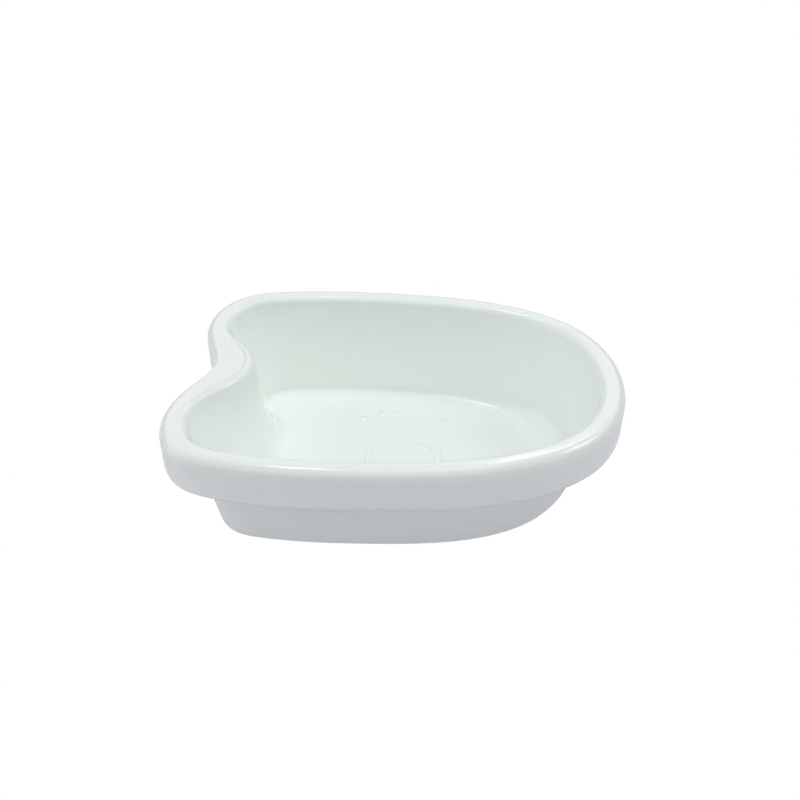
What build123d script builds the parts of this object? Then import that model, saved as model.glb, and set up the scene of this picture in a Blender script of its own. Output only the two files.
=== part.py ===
from build123d import *
import math
import os

# Foot bath basin: one thin moulded shell, rounded at the toe end and notched at the heel end, with a
# broad rolled rim whose skirt hangs down outside the wall, and rubber pads under its base.
# Millimetres. +X points to the toe end, +Y to one side, +Z up. The origin is on the floor under the
# middle of the rim, so the pads' undersides are at z = 0.

# ---- Driving dimensions ----
HEIGHT = 116.0            # floor to rim top
SHELL = 2.4               # wall thickness
SIDES = (1, -1)

# Half of two outlines, each from the heel notch round to the toe: the rim's outer edge, and the foot of
# the inner wall. Points with the same place in both lists lie on one line down the wall. The other half
# mirrors them.
RIM = [(-189.0, 0), (-203.6, 44.7), (-212.6, 96.4), (-187.9, 146.7), (-140.8, 163.8),
       (-23.0, 167.7), (113.0, 144.8), (179.3, 100.0), (213.0, 0)]
FOOT = [(-136.0, 0), (-140.0, 46.0), (-164.5, 98.0), (-151.5, 119.5), (-126.0, 127.5),
        (-26.0, 129.5), (113.0, 99.5), (149.3, 68.0), (168.0, 0)]

# Section of the rim, as insets from its outline.
RIM_EDGE = 21.7           # outline to the inner edge of the rim
RIM_EDGE_TOE = 1.7        # the rim is this much wider at the toe
RIM_EDGE_LOBE = 3.3       # and round the heel lobes
LOBE_START = 60.0         # how far from the middle the lobes begin to count
ROLL_OUT = (9.2, 11.5)    # outer roll, quarter ellipse: across, down
ROLL_IN = 7.5             # inner roll radius
SKIRT_DROP = 39.8         # rim top to the skirt's lower edge
SKIRT_TUCK = 1.2          # the skirt's lower edge rolls inward by this much
SKIRT_ROLL = 5.0          # over this height
SHELF_WIDTH = 20.0        # the rim is this much wider at the middle of the notch
SHELF_SPREAD = 39.8       # half width over which the shelf fades out

# Base and floor.
BASE_RISE = 1.6           # the pads hold the base this far above the floor
BASE_SHELL = 3.2          # floor thickness
BASE_RADIUS = 8.5         # outer corner between wall and base
BASE_RADIUS_TOE = 17.0    # more of it at the toe
FLOOR_RADIUS = 3.0        # inner corner between wall and floor
FLOOR_RADIUS_TOE = 20.0   # more of it at the toe, where the floor sweeps up
NOTCH_RADIUS = 14.0       # more of both at the notch, whose wall sweeps out into the floor
NOTCH_SPREAD = 78.0       # half width over which that fades out
STEP_WIDTH = 13.0         # soft step up to the corner at the toe, fading out along the sides
STEP_HEIGHT = 4.5

# Shelf in the notch: a shallow rest, sunk below the rim top and held by a lip.
SHELF_SINK = 1.5
SHELF_LIP_X = -156.0      # inner edge of the sunk part, at the middle of the notch
SHELF_HALF_WIDTH = 37.0
SHELF_LIP_BACK = 21.0     # how far the lip's ends curve back towards the heel

# Finger grips: shallow scallops in the skirt's lower edge, along both long sides.
GRIP_COUNT = 4
GRIP_PITCH = 17.5
GRIP_DEPTH = 2.4
GRIP_WIDTH = 13.0
GRIP_Y = 164.0            # where the skirt is, beside the middle
GRIP_ROD_LENGTH = 20.0

# Low relief moulded on the floor: a grooved frame with a bar at each end, bumps, and dimples at the toe.
GROOVE_WIDTH = 1.6
GROOVE_DEPTH = 0.9
FRAME_HALF_WIDTH = 34.0
FRAME_SHOULDER = 15.5
FRAME_CROWN = 32.5
FRAME_BAR_X = 39.8
FRAME_BAR_END = 20.0
BUMPS = [(-47, 71), (-27, 82), (-10, 83), (26, 74), (42, 72)]
BUMP_RADIUS = 6.5
BUMP_HEIGHT = 1.8
BUMP_ROOT = 1.2           # how deep a bump starts in the floor
DIMPLES = [(99.6, 29.7), (109.2, 30.3), (104.1, 21.1)]
DIMPLE_RADIUS = 2.4
DIMPLE_DEPTH = 0.9

# Non-slip pads, glued in round recesses in the base.
PAD_RADIUS = 10.0
PAD_HEIGHT = 2.6
PAD_EDGE = 0.8
PAD_CLEARANCE = 0.15
PAD_PLACES = {"heel": (-112.0, 88.0), "toe": (98.0, 66.0)}

# ---- Worked out ----
HALF_LENGTH = RIM[-1][0]
SKIRT_Z = HEIGHT - SKIRT_DROP
FLOOR_Z = BASE_RISE + BASE_SHELL
WALL_TOP_Z = HEIGHT - ROLL_IN
SPAN_STEPS = 4
ARC = (0, 22.5, 45, 67.5, 90)
ARC_RISING = (67.5, 45, 22.5, 0)
STEP_SHARES = (0, 0.25, 0.5, 0.75, 1)
STEP_EDGE = 0.3           # least width of the step, where it has faded out
UPWARD = (Align.CENTER, Align.CENTER, Align.MIN)


def half_curve(points):
    """Smooth curve from heel to toe, square to the mirror plane at both ends."""
    return Edge.make_spline(points, tangents=[Vector(0, 1, 0), Vector(0, -1, 0)], scale=False)


def sample(half):
    """Points along a half outline, the same number in each span, so that outlines match up."""
    curve = half_curve([Vector(x, y) for x, y in half])
    knots = [0.0, *[curve.param_at_point(Vector(x, y)) for x, y in half[1:-1]], 1.0]
    stops = [start + (end - start) * i / SPAN_STEPS
             for start, end in zip(knots, knots[1:]) for i in range(SPAN_STEPS)]
    return [curve.position_at(stop) for stop in [*stops, 1.0]]


def mirrored(point):
    return Vector(point.X, -point.Y)


def inset(points, amount):
    """Moves a half outline inward: by one amount, or by one for each point."""
    amounts = amount if isinstance(amount, list) else [amount] * len(points)
    moved = []
    for i, (at, by) in enumerate(zip(points, amounts)):
        before = points[i - 1] if i else mirrored(points[1])
        after = points[i + 1] if i + 1 < len(points) else mirrored(points[-2])
        along = (after - before).normalized()
        moved.append(at + Vector(along.Y, -along.X) * by)
    return moved


def ring(points, z):
    """Closed curve through a half outline and its mirror image, at one height or at one for each point."""
    heights = z if isinstance(z, list) else [z] * len(points)
    half = half_curve([Vector(at.X, at.Y, height) for at, height in zip(points, heights)])
    return Wire([half, half.mirror(Plane.XZ)])


RIM_LINE = sample(RIM)
FOOT_LINE = sample(FOOT)
SHELF = [SHELF_WIDTH * math.exp(-((at.Y / SHELF_SPREAD) ** 2)) if at.X < 0 else 0.0 for at in RIM_LINE]
HEELWARD = [max(0.0, -at.X / HALF_LENGTH) ** 2 for at in RIM_LINE]
TOEWARD = [max(0.0, at.X / HALF_LENGTH) ** 2 for at in RIM_LINE]
NOTCH = [NOTCH_RADIUS * math.exp(-((at.Y / NOTCH_SPREAD) ** 6)) if at.X < 0 else 0.0 for at in RIM_LINE]
LOBES = [heel * (1 - math.exp(-((at.Y / LOBE_START) ** 2))) for heel, at in zip(HEELWARD, RIM_LINE)]
WIDEN = [shelf + RIM_EDGE_TOE * toe ** 2 + RIM_EDGE_LOBE * lobe
         for shelf, toe, lobe in zip(SHELF, TOEWARD, LOBES)]
RIM_EDGE_LINE = inset(RIM_LINE, [RIM_EDGE + extra for extra in WIDEN])


def wall_line(z):
    """The inner wall's outline at one height, or at a height for each point."""
    heights = z if isinstance(z, list) else [z] * len(FOOT_LINE)
    depths = [(WALL_TOP_Z - height) / (WALL_TOP_Z - FLOOR_Z) for height in heights]
    return [top + (foot - top) * depth for top, foot, depth in zip(RIM_EDGE_LINE, FOOT_LINE, depths)]


def corner(angle):
    """How far a round corner has turned in, and how far it is from flat, as shares of its radius."""
    return 1 - math.cos(math.radians(angle)), 1 - math.sin(math.radians(angle))


def corner_rings(level, outward, reach, step):
    """From a flat, over a soft step and round a corner up to the wall or to some way outside it."""
    width = [STEP_EDGE + STEP_WIDTH * toe for toe in TOEWARD]
    rings = []
    for share in STEP_SHARES:
        z = [level + rise * (1 - math.cos(math.pi * share)) / 2 for rise in step]
        turn = [radius + part * (1 - share) - outward for radius, part in zip(reach, width)]
        rings.append(ring(inset(FOOT_LINE, turn), z))
    for across, up in map(corner, ARC_RISING):
        z = [level + rise + radius * up for rise, radius in zip(step, reach)]
        rings.append(ring(inset(wall_line(z), [radius * across - outward for radius in reach]), z))
    return rings


def floor_rings():
    """The corner between floor and wall, inside the basin."""
    reach = [FLOOR_RADIUS + FLOOR_RADIUS_TOE * toe + notch for toe, notch in zip(TOEWARD, NOTCH)]
    return corner_rings(FLOOR_Z, 0.0, reach, [STEP_HEIGHT * toe for toe in TOEWARD])


def base_rings():
    """The corner between base and wall, outside the basin."""
    reach = [BASE_RADIUS + BASE_RADIUS_TOE * toe ** 2 + notch for toe, notch in zip(TOEWARD, NOTCH)]
    return corner_rings(BASE_RISE, SHELL, reach, [STEP_HEIGHT * toe ** 2 for toe in TOEWARD])


def rim_rings(within=0.0):
    """The rim from its outer roll to its inner one, on its face or some way within it."""
    across, down = ROLL_OUT
    rings = []
    for angle in ARC:
        z = HEIGHT - down + (down - within) * math.sin(math.radians(angle))
        rings.append(ring(inset(RIM_LINE, across - (across - within) * math.cos(math.radians(angle))), z))
    for angle in reversed(ARC):
        turn = RIM_EDGE - ROLL_IN + (ROLL_IN - within) * math.cos(math.radians(angle))
        z = WALL_TOP_Z + (ROLL_IN - within) * math.sin(math.radians(angle))
        rings.append(ring(inset(RIM_LINE, [turn + extra for extra in WIDEN]), z))
    return rings


def skirt_edge_rings():
    """The skirt from its inner face, round its rolled lower edge, to its outer face."""
    inner = ring(inset(RIM_LINE, SHELL), SKIRT_Z + SKIRT_ROLL)
    outer = ring(RIM_LINE, SKIRT_Z + SKIRT_ROLL)
    round_edge = []
    for angle in (0, 45, 90, 135, 180):
        turn = SKIRT_TUCK + SHELL / 2 * (1 + math.cos(math.radians(angle)))
        z = SKIRT_Z + SHELL / 2 * (1 - math.sin(math.radians(angle)))
        round_edge.append(ring(inset(RIM_LINE, turn), z))
    return [inner, *round_edge, outer]


def shell():
    """The whole moulding as one closed loft: up from the base, round the rim and down to the floor."""
    outer_wall = [ring(inset(wall_line(z), -SHELL), z) for z in (42, 68, 95)]
    inner_wall = [ring(wall_line(z), z) for z in (85, 62, 40)]
    rings = [*base_rings(), *outer_wall, *reversed(rim_rings(SHELL)), *skirt_edge_rings(),
             *rim_rings(), *inner_wall, *reversed(floor_rings())]
    return Solid.make_loft(rings, ruled=True)


def finger_grips():
    """Cutters for the scallops, as long rods across both sides of the skirt."""
    radius = (GRIP_DEPTH ** 2 + (GRIP_WIDTH / 2) ** 2) / (2 * GRIP_DEPTH)
    centre_z = SKIRT_Z + GRIP_DEPTH - radius
    rod = Rot(90, 0, 0) * Cylinder(radius, GRIP_ROD_LENGTH)
    places = [(i - (GRIP_COUNT - 1) / 2) * GRIP_PITCH for i in range(GRIP_COUNT)]
    return [Pos(x, side * GRIP_Y, centre_z) * rod for x in places for side in SIDES]


def shelf_cut():
    """Cutter for the sunk shelf: all that lies above it, back from the curved lip."""
    ends = [(SHELF_LIP_X - SHELF_LIP_BACK, side * SHELF_HALF_WIDTH) for side in SIDES]
    lip = Spline(ends[0], (SHELF_LIP_X, 0), ends[1])
    back_x = -HALF_LENGTH - SHELL
    back = Polyline(ends[1], (back_x, -SHELF_HALF_WIDTH), (back_x, SHELF_HALF_WIDTH), ends[0])
    face = make_face(lip + back)
    return extrude(Pos(0, 0, HEIGHT - SHELF_SINK) * face, ROLL_IN)


def bump(x, y):
    """A low round dome on the floor."""
    radius = (BUMP_RADIUS ** 2 + BUMP_HEIGHT ** 2) / (2 * BUMP_HEIGHT)
    ball = Pos(x, y, FLOOR_Z + BUMP_HEIGHT - radius) * Sphere(radius)
    column = Cylinder(BUMP_RADIUS, BUMP_HEIGHT + BUMP_ROOT, align=UPWARD)
    return ball & (Pos(x, y, FLOOR_Z - BUMP_ROOT) * column)


def dimple(x, y):
    """Cutter for a shallow round hollow in the floor."""
    radius = (DIMPLE_RADIUS ** 2 + DIMPLE_DEPTH ** 2) / (2 * DIMPLE_DEPTH)
    return Pos(x, y, FLOOR_Z - DIMPLE_DEPTH + radius) * Sphere(radius)


def barrel(grow):
    """The floor frame's outline, grown by some way: straight sides, arched ends."""
    x = FRAME_HALF_WIDTH + grow
    y = FRAME_SHOULDER
    crown = FRAME_CROWN + grow
    far_end = ThreePointArc((-x, y), (0, crown), (x, y))
    near_end = ThreePointArc((x, -y), (0, -crown), (-x, -y))
    return make_face([far_end, Line((x, y), (x, -y)), near_end, Line((-x, -y), (-x, y))])


def floor_grooves():
    """Cutters for the plain frame in the middle of the floor and the bar at each end of it."""
    line = barrel(GROOVE_WIDTH / 2) - barrel(-GROOVE_WIDTH / 2)
    bar = Box(GROOVE_WIDTH, 2 * FRAME_BAR_END, 2 * GROOVE_DEPTH)
    frame = extrude(Pos(0, 0, FLOOR_Z - GROOVE_DEPTH) * line, 2 * GROOVE_DEPTH)
    return [frame, *[Pos(side * FRAME_BAR_X, 0, FLOOR_Z) * bar for side in SIDES]]


def pad_places():
    """Name and centre of each pad: heel and toe, on both sides."""
    return {f"foot_pad_{end}_{'left' if side > 0 else 'right'}": (x, side * y)
            for end, (x, y) in PAD_PLACES.items() for side in SIDES}


def pad_recess(x, y):
    """Cutter for the round recess that a pad sits in."""
    return Pos(x, y, 0) * Cylinder(PAD_RADIUS + PAD_CLEARANCE, PAD_HEIGHT, align=UPWARD)


def foot_pad(x, y):
    """A rubber disc with a rounded lower edge."""
    disc = Cylinder(PAD_RADIUS, PAD_HEIGHT, align=UPWARD)
    lower_edge = disc.edges().filter_by(GeomType.CIRCLE).sort_by(Axis.Z)[0]
    return Pos(x, y, 0) * fillet(lower_edge, PAD_EDGE)


def basin():
    bumps = [bump(x, side * y) for x, y in BUMPS for side in SIDES]
    dimples = [dimple(x, side * y) for x, y in DIMPLES for side in SIDES]
    recesses = [pad_recess(x, y) for x, y in pad_places().values()]
    return (Part() + shell() + bumps) - [*finger_grips(), shelf_cut(), *floor_grooves(), *dimples, *recesses]


os.makedirs("parts", exist_ok=True)
export_step(basin(), "parts/basin.step")
for name, (x, y) in pad_places().items():
    export_step(foot_pad(x, y), f"parts/{name}.step")
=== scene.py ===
import math

import bmesh
import bpy
import numpy as np
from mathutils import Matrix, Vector


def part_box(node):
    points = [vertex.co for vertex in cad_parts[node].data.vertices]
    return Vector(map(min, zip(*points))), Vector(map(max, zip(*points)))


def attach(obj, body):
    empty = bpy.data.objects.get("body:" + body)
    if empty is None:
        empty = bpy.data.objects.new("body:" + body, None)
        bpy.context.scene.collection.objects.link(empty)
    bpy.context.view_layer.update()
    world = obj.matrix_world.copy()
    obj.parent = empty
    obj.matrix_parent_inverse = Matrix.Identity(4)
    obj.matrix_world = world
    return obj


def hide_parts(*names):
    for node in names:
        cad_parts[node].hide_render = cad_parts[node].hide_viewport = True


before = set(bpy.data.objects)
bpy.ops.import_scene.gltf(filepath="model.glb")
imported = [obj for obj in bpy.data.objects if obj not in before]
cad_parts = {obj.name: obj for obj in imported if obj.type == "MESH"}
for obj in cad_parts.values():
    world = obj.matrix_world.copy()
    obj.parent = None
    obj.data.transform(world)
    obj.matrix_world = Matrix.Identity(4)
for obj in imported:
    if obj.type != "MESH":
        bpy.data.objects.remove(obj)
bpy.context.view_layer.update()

# Foot bath basin. Lengths here are in millimetres and turn into metres as meshes are made. +X is the toe
# end, -X the notched heel end, +Z up.
MM = 0.001
SIDES = (1, -1)

basin_low, basin_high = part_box("basin")
HEIGHT = basin_high.z / MM
BASE_Z = basin_low.z / MM
HALF_LENGTH = basin_high.x / MM

# Half outlines from the heel notch round to the toe: the rim's outer edge and the foot of the inner wall.
RIM = [(-189.0, 0), (-203.6, 44.7), (-212.6, 96.4), (-187.9, 146.7), (-140.8, 163.8),
       (-23.0, 167.7), (113.0, 144.8), (179.3, 100.0), (213.0, 0)]
FOOT = [(-136.0, 0), (-140.0, 46.0), (-164.5, 98.0), (-151.5, 119.5), (-126.0, 127.5),
        (-26.0, 129.5), (113.0, 99.5), (149.3, 68.0), (168.0, 0)]
SPACING = 2.4             # between the mesh's columns, along the rim
VISUAL_SCALE = 0.9999     # keeps the mesh's outlines inside the part's box

# The moulding's section.
SHELL = 2.4               # wall thickness
BASE_SHELL = 3.2          # floor thickness
RIM_EDGE = 21.7           # rim outline to the rim's inner edge
RIM_EDGE_LOBE = 3.3       # the rim is this much wider round the heel lobes
LOBE_START = 60.0         # how far from the middle the lobes begin to count
RIM_EDGE_TOE = 1.7        # the rim is this much wider at the toe
ROLL_OUT = (9.2, 11.5)    # outer roll, quarter ellipse: across, down
ROLL_IN = 7.5             # inner roll radius
SKIRT_DROP = 39.8         # rim top to the skirt's lower edge
SKIRT_TUCK = 1.2          # how far the skirt's lower edge rolls inward
SKIRT_ROLL = 5.0          # over this height
SKIRT_SHARES = (0.25, 0.6, 1.0)   # of that height, where the skirt's rows lie
BASE_RADIUS = 8.5         # outer corner between wall and base
BASE_RADIUS_TOE = 17.0    # more of it at the toe
FLOOR_RADIUS = 3.0        # inner corner between wall and floor
FLOOR_RADIUS_TOE = 20.0   # more of it at the toe
NOTCH_RADIUS = 14.0       # more of both at the notch
NOTCH_SPREAD = 78.0       # half width over which that fades out
STEP_WIDTH = 13.0         # soft step up to the corner at the toe, fading out along the sides
STEP_HEIGHT = 4.5
STEP_EDGE = 0.3           # least width of the step, where it has faded out
SHELF_WIDTH = 20.0        # the rim is this much wider at the middle of the notch
SHELF_SPREAD = 39.8       # half width over which the shelf fades out
SHELF_SINK = 1.5
SHELF_REACH = 34.0        # half width over which the sunk shelf fades out
SHELF_LIP = 1.2           # the shelf's step stands this far outside the inner roll
SHELF_STEP_FOOT = 0.5     # the sunk flat ends this far before the step
SHELF_STEP = [(0.0, 0.85), (0.25, 0.15)]   # rows of the step: place across it, share of the sink
OUTER_WALL = (40.0, 6.0)  # plain part of the wall: above the base, below the top of the wall
INNER_WALL = (36.0, 4.0)  # and the same above the floor

SKIRT_Z = HEIGHT - SKIRT_DROP
FLOOR_Z = BASE_Z + BASE_SHELL
WALL_TOP_Z = HEIGHT - ROLL_IN

# Finger grips in the skirt's lower edge, along both long sides.
GRIP_COUNT = 4
GRIP_PITCH = 17.5
GRIP_DEPTH = 2.4
GRIP_WIDTH = 13.0

# Relief on the floor: a grooved frame with a bar at each end, bumps under the soles and dimples
# under the toes.
GROOVE = 0.9
# Each row of a groove's side: reach from its middle, share of its depth.
GROOVE_SIDE = [(1.5, 0), (1.15, 0.12), (0.85, 0.5), (0.5, 0.88), (0.2, 1)]
FRAME_HALF_WIDTH = 34.0
FRAME_SHOULDER = 15.5
FRAME_CROWN = 32.5
FRAME_BAR_X = 39.8
FRAME_BAR_END = 20.0
BUMPS = [(-47, 71), (-27, 82), (-10, 83), (26, 74), (42, 72)]
BUMP_RADIUS = 6.5
BUMP_HEIGHT = 1.8
DIMPLES = [(99.6, 29.7), (109.2, 30.3), (104.1, 21.1)]
DIMPLE_RADIUS = 2.4
DIMPLE_DEPTH = 0.9

# Pads: the lower edge, in from the radius and up from the floor, and grip rings underneath.
PAD_CLEARANCE = 0.15
PAD_EDGE = [(0.0, 1.0), (0.25, 0.35), (0.9, 0.0)]
PAD_RINGS = (0.8, 0.6, 0.4, 0.2)
PAD_RING_SIDE = [(0.5, 0.0), (0.2, 0.35), (-0.2, 0.35), (-0.5, 0.0)]
PADS = [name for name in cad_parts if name.startswith("foot_pad")]

# The studio, in metres and watts. Sky: sine of the elevation, brightness. Lamps: place, size, power.
STUDIO_SIZE = 12
STUDIO_RADIUS = 5
BOUNCE_DEPTH = 0.0005
BOUNCE_COLOUR = (0.55, 0.53, 0.59, 1)
BOUNCE_GLOW = 0.24
SKY = [(0.25, 0.0), (0.5, 0.97), (0.75, 0.0)]
LAMP_COLOUR = (0.96, 1.0, 0.985)
LAMP_TARGET = (0, 0, 0.1)
LAMPS = [("key_right", (1.6, 0.15, 1.55), (0.7, 0.7), 8.0),
         ("key_back", (0.45, 1.4, 1.5), (0.5, 0.35), 2.6),
         ("key_left", (-0.45, 0.45, 2.0), (0.3, 0.35), 5.6),
         ("top", (0.12, 0.0, 1.8), (1.2, 1.2), 7.9),
         ("left", (-1.7, 0.2, 0.9), (1.2, 1.0), 2.89),
         ("front_high", (0.0, -1.2, 1.6), (1.8, 0.8), 6.0),
         ("left_low", (-2.0, -0.4, 0.35), (1.2, 0.5), 4.6)]

# The camera, in degrees, metres and, for the lens, millimetres.
CAMERA_PITCH = 34.22
CAMERA_YAW = -3.85
CAMERA_DISTANCE = 0.8573
CAMERA_TARGET = (-0.01044, 0, 0.0659)
CAMERA_SENSOR = 36
CAMERA_LENS = 38.34
CAMERA_SHIFT = (0.0096, 0.0130)


# ---- Outlines ----

def half_spline(points, steps):
    """Smooth curve through the points, square to the mirror plane at both ends.

    Span i is sampled steps[i] times.
    """
    knots = np.array(points, float)
    gap = np.linalg.norm(np.diff(knots, axis=0), axis=1)
    count = len(knots)
    matrix = np.eye(count)
    right = np.zeros((count, 2))
    right[0] = (0, 1)
    right[-1] = (0, -1)
    for i in range(1, count - 1):
        before, after = gap[i - 1], gap[i]
        matrix[i, i - 1:i + 2] = (after, 2 * (before + after), before)
        right[i] = 3 * (after * (knots[i] - knots[i - 1]) / before
                        + before * (knots[i + 1] - knots[i]) / after)
    slope = np.linalg.solve(matrix, right)
    spans = []
    for i, number in enumerate(steps):
        t = (np.arange(number) / number)[:, None]
        spans.append((1 + 2 * t) * (1 - t) ** 2 * knots[i] + t ** 2 * (3 - 2 * t) * knots[i + 1]
                     + gap[i] * (t * (1 - t) ** 2 * slope[i] - t ** 2 * (1 - t) * slope[i + 1]))
    return np.vstack([*spans, knots[-1:]])


def whole(half):
    """The closed outline of a half and its mirror image."""
    return np.vstack([half, half[-2:0:-1] * (1, -1)])


def inset(line, amount):
    """Moves a closed outline inward, by one amount or by one for each point."""
    along = np.roll(line, -1, axis=0) - np.roll(line, 1, axis=0)
    along /= np.linalg.norm(along, axis=1)[:, None]
    inward = np.column_stack([along[:, 1], -along[:, 0]])
    return line + inward * np.broadcast_to(amount, len(line))[:, None]


STEPS = [math.ceil(math.dist(a, b) / SPACING) for a, b in zip(RIM, RIM[1:])]
RIM_LINE = whole(half_spline(RIM, STEPS)) * VISUAL_SCALE
FOOT_LINE = whole(half_spline(FOOT, STEPS)) * VISUAL_SCALE
HEEL_SIDE = RIM_LINE[:, 0] < 0
SHELF = np.where(HEEL_SIDE, SHELF_WIDTH * np.exp(-(RIM_LINE[:, 1] / SHELF_SPREAD) ** 2), 0.0)
SINK = np.where(HEEL_SIDE, SHELF_SINK * np.exp(-(RIM_LINE[:, 1] / SHELF_REACH) ** 4), 0.0)
HEELWARD = np.clip(-RIM_LINE[:, 0] / HALF_LENGTH, 0, 1) ** 2
TOEWARD = np.clip(RIM_LINE[:, 0] / HALF_LENGTH, 0, 1) ** 2
NOTCH = np.where(HEEL_SIDE, NOTCH_RADIUS * np.exp(-(RIM_LINE[:, 1] / NOTCH_SPREAD) ** 6), 0.0)
LOBES = HEELWARD * (1 - np.exp(-(RIM_LINE[:, 1] / LOBE_START) ** 2))
WIDEN = SHELF + RIM_EDGE_TOE * TOEWARD ** 2 + RIM_EDGE_LOBE * LOBES
RIM_EDGE_LINE = inset(RIM_LINE, RIM_EDGE + WIDEN)


def wall_line(z):
    """The inner wall's outline at height z, or at one height for each point."""
    depth = (WALL_TOP_Z - np.broadcast_to(z, len(RIM_LINE))) / (WALL_TOP_Z - FLOOR_Z)
    return RIM_EDGE_LINE + (FOOT_LINE - RIM_EDGE_LINE) * depth[:, None]


def row(line, z):
    """One closed row of the mesh: a plan outline at a height, or at one height for each point."""
    return np.column_stack([line, np.broadcast_to(z, len(line))])


def turns(start, end, count):
    """Cosine and sine of evenly spaced angles, given in degrees."""
    return [(math.cos(a), math.sin(a)) for a in np.radians(np.linspace(start, end, count))]


# ---- The moulding's rows, in order: under the base, up outside, round the rim, down inside ----

def corner_rows(level, outward, reach, step):
    """From a flat, over a soft step and round a corner up to the wall or to some way outside it."""
    width = STEP_EDGE + STEP_WIDTH * TOEWARD
    rows = []
    for share in np.linspace(0, 1, 7):
        z = level + step * (1 - math.cos(math.pi * share)) / 2
        rows.append(row(inset(FOOT_LINE, reach + width * (1 - share) - outward), z))
    for cosine, sine in turns(84, 0, 12):
        z = level + step + reach * (1 - sine)
        rows.append(row(inset(wall_line(z), reach * (1 - cosine) - outward), z))
    return rows


def base_rows():
    """Outward under the base and round its corner."""
    reach = BASE_RADIUS + BASE_RADIUS_TOE * TOEWARD ** 2 + NOTCH
    return corner_rows(BASE_Z, SHELL, reach, STEP_HEIGHT * TOEWARD ** 2)


def floor_rows():
    """Down the inner corner and inward over the floor."""
    reach = FLOOR_RADIUS + FLOOR_RADIUS_TOE * TOEWARD + NOTCH
    return corner_rows(FLOOR_Z, 0, reach, STEP_HEIGHT * TOEWARD)[::-1]


def outer_wall_rows():
    above, below = OUTER_WALL
    levels = np.linspace(BASE_Z + above, WALL_TOP_Z - below, 10)
    return [row(inset(wall_line(z), -SHELL), z) for z in levels]


def under_rim_rows():
    """The underside of the rim, from the wall out to the skirt's inner face."""
    across, down = ROLL_OUT
    rows = []
    for cosine, sine in turns(0, 90, 6):
        line = inset(RIM_LINE, RIM_EDGE - ROLL_IN + (ROLL_IN - SHELL) * cosine + WIDEN)
        rows.append(row(line, WALL_TOP_Z + (ROLL_IN - SHELL) * sine))
    for cosine, sine in turns(90, 0, 9):
        line = inset(RIM_LINE, across - (across - SHELL) * cosine)
        rows.append(row(line, HEIGHT - down + (down - SHELL) * sine))
    return rows


def grip_lift():
    """How far the finger grips lift the skirt's lower edge, at each point of the rim."""
    lift = np.zeros(len(RIM_LINE))
    for i in range(GRIP_COUNT):
        off = (RIM_LINE[:, 0] - (i - (GRIP_COUNT - 1) / 2) * GRIP_PITCH) / (GRIP_WIDTH / 2)
        lift = np.maximum(lift, GRIP_DEPTH * np.clip(1 - off ** 2, 0, 1) ** 0.8)
    return lift


def skirt_face(depth, lift):
    """A face of the skirt, upward, at a depth behind its outer face."""
    rows = []
    for share in SKIRT_SHARES:
        line = inset(RIM_LINE, depth + SKIRT_TUCK * (1 - share) ** 2)
        rows.append(row(line, SKIRT_Z + SKIRT_ROLL * share + lift * (1 - share)))
    return rows


def skirt_rows():
    """Down the skirt's inner face, round its lower edge and up its outer face."""
    lift = grip_lift()
    edge = []
    for cosine, sine in turns(0, 180, 9):
        line = inset(RIM_LINE, SKIRT_TUCK + SHELL / 2 * (1 + cosine))
        edge.append(row(line, SKIRT_Z + SHELL / 2 * (1 - sine) + lift))
    return [*skirt_face(SHELL, lift)[::-1], *edge, *skirt_face(0, lift)]


def rim_rows():
    """The rim's face: outer roll, flat top with the sunk shelf at the notch, and inner roll."""
    across, down = ROLL_OUT
    rows = []
    for cosine, sine in turns(0, 90, 16):
        z = HEIGHT - down + down * sine
        rows.append(row(inset(RIM_LINE, across * (1 - cosine)), np.minimum(z, HEIGHT - SINK * sine)))
    flat = RIM_EDGE - ROLL_IN - across + WIDEN - SHELF_LIP
    for share in np.linspace(0, 1, 8)[1:]:
        rows.append(row(inset(RIM_LINE, across + (flat - SHELF_STEP_FOOT) * share), HEIGHT - SINK))
    for beyond, sink in SHELF_STEP:
        rows.append(row(inset(RIM_LINE, across + flat + beyond), HEIGHT - SINK * sink))
    for cosine, sine in turns(90, 0, 12):
        line = inset(RIM_LINE, RIM_EDGE - ROLL_IN + ROLL_IN * cosine + WIDEN)
        rows.append(row(line, WALL_TOP_Z + ROLL_IN * sine))
    return rows


def inner_wall_rows():
    above, below = INNER_WALL
    levels = np.linspace(WALL_TOP_Z - below, FLOOR_Z + above, 12)
    return [row(wall_line(z), z) for z in levels]


# ---- Mesh making ----

def add_loop(mesh, points):
    return [mesh.verts.new(Vector(point) * MM) for point in points]


def bridge(mesh, lower, upper):
    """Quads between two closed loops with the same number of points."""
    for i in range(len(lower)):
        j = (i + 1) % len(lower)
        mesh.faces.new((lower[i], upper[i], upper[j], lower[j])).smooth = True


def fill(mesh, *loops):
    """Fills the flat area inside the first loop and outside the others."""
    edges = []
    for loop in loops:
        for a, b in zip(loop, loop[1:] + loop[:1]):
            edges.append(mesh.edges.get((a, b)) or mesh.edges.new((a, b)))
    bmesh.ops.triangle_fill(mesh, use_beauty=True, use_dissolve=False, edges=edges)


def stack(mesh, rows):
    """Bridges a list of closed rows and returns their loops."""
    loops = [add_loop(mesh, points) for points in rows]
    for lower, upper in zip(loops, loops[1:]):
        bridge(mesh, lower, upper)
    return loops


def circle(x, y, radius, z, count=32):
    """Evenly spaced points on a level circle."""
    points = []
    for i in range(count):
        angle = 2 * math.pi * i / count
        points.append((x + radius * math.cos(angle), y + radius * math.sin(angle), z))
    return points


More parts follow.
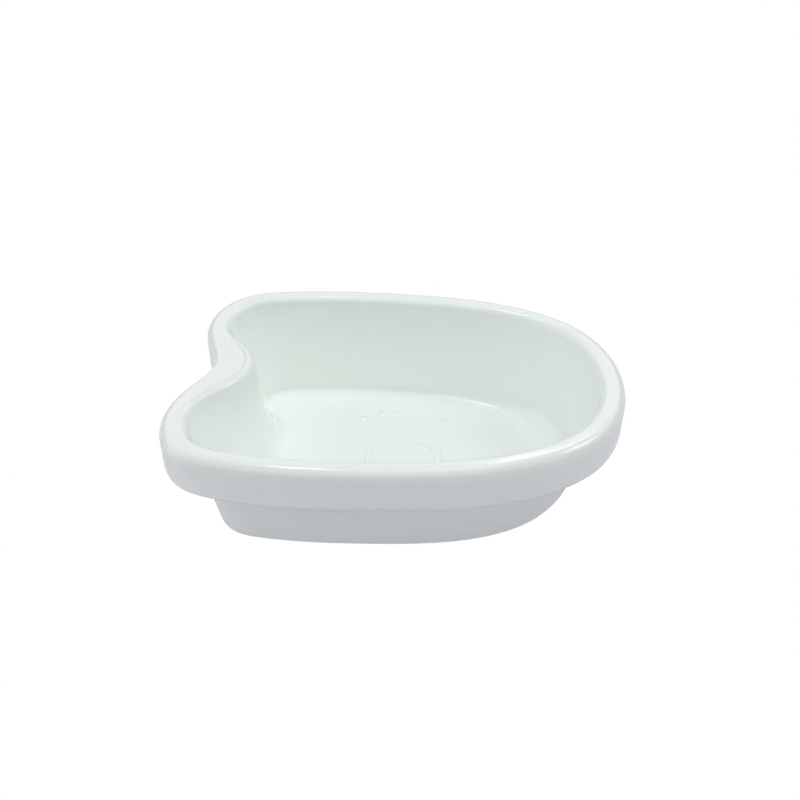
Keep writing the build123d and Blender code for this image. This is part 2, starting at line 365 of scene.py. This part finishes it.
def barrel(grow, z):
    """The floor frame's outline, grown outward: straight sides and arched ends."""
    half = FRAME_HALF_WIDTH + grow
    crown = FRAME_CROWN - FRAME_SHOULDER
    reach = (FRAME_HALF_WIDTH ** 2 + crown ** 2) / (2 * crown) + grow
    centre_y = FRAME_CROWN - reach + grow
    shoulder_y = centre_y + math.sqrt(reach ** 2 - half ** 2)
    sweep = math.asin(half / reach)
    points = []
    for side in SIDES:
        for angle in np.linspace(-sweep, sweep, 31):
            points.append((side * reach * math.sin(angle), side * (centre_y + reach * math.cos(angle)), z))
        for share in (0.2, 0.4, 0.6, 0.8):
            points.append((side * half, side * shoulder_y * (1 - 2 * share), z))
    return points


def bar(x, grow, z):
    """The outline of a floor bar, grown outward: a line with round ends."""
    points = []
    for side in SIDES:
        for cosine, sine in turns(0, 180, 9):
            points.append((x + side * grow * cosine, side * (FRAME_BAR_END + grow * sine), z))
    return points


def add_islands(mesh):
    """Makes the floor's relief and returns the loops where it meets the flat floor."""
    depths = [(reach, FLOOR_Z - GROOVE * share) for reach, share in GROOVE_SIDE]
    outside = [barrel(reach, z) for reach, z in depths]
    inside = [barrel(-reach, z) for reach, z in depths[::-1]]
    ring = stack(mesh, outside + inside)
    fill(mesh, ring[-1])
    mouths = [ring[0]]
    for side in SIDES:
        loops = stack(mesh, [bar(side * FRAME_BAR_X, reach, z) for reach, z in depths])
        fill(mesh, loops[-1])
        mouths.append(loops[0])
    shapes = [(BUMPS, BUMP_RADIUS, BUMP_HEIGHT), (DIMPLES, DIMPLE_RADIUS, -DIMPLE_DEPTH)]
    for places, radius, height in shapes:
        section = [(radius * share, FLOOR_Z + height * (1 + math.cos(math.pi * share)) / 2)
                   for share in np.linspace(1, 0.1, 10)]
        for x, y in [(x, side * y) for x, y in places for side in SIDES]:
            loops = stack(mesh, [circle(x, y, reach, z) for reach, z in section])
            fill(mesh, loops[-1])
            mouths.append(loops[0])
    return mouths


def pad_box(name):
    """A pad's centre, radius and top."""
    low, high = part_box(name)
    return (low + high) / (2 * MM), (high.x - low.x) / (2 * MM), high.z / MM


def add_base(mesh, edge):
    """The base inside its edge loop, with a round recess for each pad."""
    mouths = []
    for name in PADS:
        centre, radius, top = pad_box(name)
        radius += PAD_CLEARANCE
        loops = stack(mesh, [circle(centre.x, centre.y, radius, z, 48) for z in (BASE_Z, top)])
        mouths.append(loops[0])
        fill(mesh, loops[-1])
    fill(mesh, edge, *mouths)


def finish_mesh(name, mesh, material, node):
    """Turns a mesh into a piece that stands for the node."""
    bmesh.ops.recalc_face_normals(mesh, faces=mesh.faces)
    data = bpy.data.meshes.new(name)
    mesh.to_mesh(data)
    mesh.free()
    piece = bpy.data.objects.new(name, data)
    bpy.context.scene.collection.objects.link(piece)
    data.materials.append(material)
    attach(piece, "root")
    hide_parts(node)


def make_basin(material):
    """The whole moulding, as one closed mesh."""
    mesh = bmesh.new()
    rows = [*base_rows(), *outer_wall_rows(), *under_rim_rows(), *skirt_rows(), *rim_rows(),
            *inner_wall_rows(), *floor_rows()]
    loops = stack(mesh, rows)
    add_base(mesh, loops[0])
    fill(mesh, loops[-1], *add_islands(mesh))
    finish_mesh("basin_moulding", mesh, material, "basin")


def make_pad(node, material):
    """A soft disc with a rounded lower edge and shallow grip rings underneath."""
    centre, radius, top = pad_box(node)
    section = [(radius, top), *((radius - inward, z) for inward, z in PAD_EDGE)]
    for ring in PAD_RINGS:
        section += [(radius * ring + outward, z) for outward, z in PAD_RING_SIDE]
    mesh = bmesh.new()
    loops = stack(mesh, [circle(centre.x, centre.y, reach, z, 64) for reach, z in section])
    fill(mesh, loops[0])
    fill(mesh, loops[-1])
    finish_mesh(f"{node}_rubber", mesh, material, node)


# ---- Materials ----

def new_material(name):
    material = bpy.data.materials.new(name)
    material.use_nodes = True
    nodes, links = material.node_tree.nodes, material.node_tree.links
    return material, nodes, links, nodes["Principled BSDF"]


def noise(nodes, links, scale, detail=4.0, roughness=0.5):
    """Noise in object space, in features per metre."""
    place = nodes.new("ShaderNodeTexCoord")
    texture = nodes.new("ShaderNodeTexNoise")
    texture.inputs["Scale"].default_value = scale
    texture.inputs["Detail"].default_value = detail
    texture.inputs["Roughness"].default_value = roughness
    links.new(place.outputs["Object"], texture.inputs["Vector"])
    return texture.outputs["Fac"]


def ramp(nodes, links, factor, stops):
    """A colour ramp; each stop is (position, grey level or colour)."""
    node = nodes.new("ShaderNodeValToRGB")
    links.new(factor, node.inputs["Fac"])
    elements = node.color_ramp.elements
    for element, (position, colour) in zip(elements, stops):
        element.position = position
        element.color = (*colour, 1) if isinstance(colour, tuple) else (colour, colour, colour, 1)
    return node.outputs["Color"]


def bump(nodes, links, shader, height, strength, distance):
    node = nodes.new("ShaderNodeBump")
    node.inputs["Strength"].default_value = strength
    node.inputs["Distance"].default_value = distance
    links.new(height, node.inputs["Height"])
    links.new(node.outputs["Normal"], shader.inputs["Normal"])


def basin_plastic():
    """Glossy white polypropylene, faintly green and translucent, with a moulded skin."""
    material, nodes, links, shader = new_material("basin_plastic")
    shades = [(0.35, (0.912, 0.959, 0.928)), (0.65, (0.922, 0.969, 0.938))]
    tint = ramp(nodes, links, noise(nodes, links, 9, 3), shades)
    links.new(tint, shader.inputs["Base Color"])
    gloss = ramp(nodes, links, noise(nodes, links, 70, 6, 0.65), [(0.3, 0.08), (0.7, 0.13)])
    links.new(gloss, shader.inputs["Roughness"])
    bump(nodes, links, shader, noise(nodes, links, 160, 2), 0.12, 0.0002)
    shader.inputs["Subsurface Weight"].default_value = 0.25
    shader.inputs["Subsurface Radius"].default_value = (0.9, 1.0, 0.95)
    shader.inputs["Subsurface Scale"].default_value = 0.004
    shader.inputs["IOR"].default_value = 1.46
    return material


def pad_rubber():
    """Matt light grey rubber."""
    material, nodes, links, shader = new_material("pad_rubber")
    shades = [(0.3, (0.50, 0.52, 0.51)), (0.7, (0.57, 0.59, 0.58))]
    tint = ramp(nodes, links, noise(nodes, links, 160), shades)
    links.new(tint, shader.inputs["Base Color"])
    gloss = ramp(nodes, links, noise(nodes, links, 900), [(0.3, 0.62), (0.7, 0.82)])
    links.new(gloss, shader.inputs["Roughness"])
    bump(nodes, links, shader, noise(nodes, links, 2600, 2), 0.25, 0.0002)
    return material


# ---- Stage ----

def area_light(name, place, size, power):
    """A lamp aimed at the basin, which the camera doesn't see."""
    data = bpy.data.lights.new(name, "AREA")
    data.shape = "RECTANGLE"
    data.size, data.size_y = size
    data.energy = power
    data.color = LAMP_COLOUR
    light = bpy.data.objects.new(name, data)
    light.location = place
    light.rotation_euler = (Vector(LAMP_TARGET) - Vector(place)).to_track_quat("-Z", "Y").to_euler()
    light.visible_camera = False
    bpy.context.scene.collection.objects.link(light)


def studio_white():
    """A flat white that takes no light."""
    material, nodes, links, shader = new_material("studio_white")
    shader.inputs["Base Color"].default_value = (0, 0, 0, 1)
    shader.inputs["Specular IOR Level"].default_value = 0
    shader.inputs["Emission Color"].default_value = (1, 1, 1, 1)
    shader.inputs["Emission Strength"].default_value = 1.0
    return material


def studio_bounce():
    """A matt grey with a faint glow, to light the basin softly from below."""
    material, nodes, links, shader = new_material("studio_bounce")
    shader.inputs["Base Color"].default_value = BOUNCE_COLOUR
    shader.inputs["Roughness"].default_value = 0.9
    shader.inputs["Emission Color"].default_value = (0.97, 0.95, 1, 1)
    shader.inputs["Emission Strength"].default_value = BOUNCE_GLOW
    return material


def place_backdrop(name, material, seen):
    """Keeps the newly made backdrop either to the camera's own rays or to all the others."""
    backdrop = bpy.context.object
    backdrop.name = name
    backdrop.data.materials.append(material)
    backdrop.visible_camera = seen
    for ray in ("visible_diffuse", "visible_glossy", "visible_transmission", "visible_shadow"):
        setattr(backdrop, ray, not seen)


def make_backdrops():
    """White surroundings that only the camera sees, over a table that takes and gives soft light."""
    white = studio_white()
    bpy.ops.mesh.primitive_plane_add(size=STUDIO_SIZE)
    place_backdrop("studio_floor", white, True)
    bpy.ops.mesh.primitive_plane_add(size=STUDIO_SIZE, location=(0, 0, -BOUNCE_DEPTH))
    place_backdrop("studio_bounce", studio_bounce(), False)
    bpy.ops.mesh.primitive_uv_sphere_add(segments=48, ring_count=24, radius=STUDIO_RADIUS)
    place_backdrop("studio_surround", white, True)


def make_lights():
    """A soft band of sky light half way up, and the lamps."""
    world = bpy.data.worlds.new("studio")
    bpy.context.scene.world = world
    world.use_nodes = True
    nodes, links = world.node_tree.nodes, world.node_tree.links
    place = nodes.new("ShaderNodeTexCoord")
    split = nodes.new("ShaderNodeSeparateXYZ")
    dome = nodes.new("ShaderNodeValToRGB")
    dome.color_ramp.interpolation = "EASE"
    while len(dome.color_ramp.elements) < len(SKY):
        dome.color_ramp.elements.new(0.5)
    for element, (position, level) in zip(dome.color_ramp.elements, SKY):
        element.position = position
        element.color = (level, level, level, 1)
    links.new(place.outputs["Generated"], split.inputs["Vector"])
    links.new(split.outputs["Z"], dome.inputs["Fac"])
    links.new(dome.outputs["Color"], nodes["Background"].inputs["Color"])
    for name, place, size, power in LAMPS:
        area_light(name, place, size, power)


def make_camera():
    """Looks down at the basin from its right side, a little towards the toe."""
    pitch, yaw = math.radians(CAMERA_PITCH), math.radians(CAMERA_YAW)
    back = Vector((-math.sin(yaw) * math.cos(pitch), -math.cos(yaw) * math.cos(pitch), math.sin(pitch)))
    data = bpy.data.cameras.new("camera")
    data.sensor_width = CAMERA_SENSOR
    data.lens = CAMERA_LENS
    data.shift_x, data.shift_y = CAMERA_SHIFT
    camera = bpy.data.objects.new("camera", data)
    camera.location = Vector(CAMERA_TARGET) + back * CAMERA_DISTANCE
    camera.rotation_euler = (-back).to_track_quat("-Z", "Y").to_euler()
    bpy.context.scene.collection.objects.link(camera)
    bpy.context.scene.camera = camera


make_basin(basin_plastic())
rubber = pad_rubber()
for pad in PADS:
    make_pad(pad, rubber)
make_backdrops()
make_lights()
make_camera()
bpy.context.scene.view_settings.view_transform = "Standard"
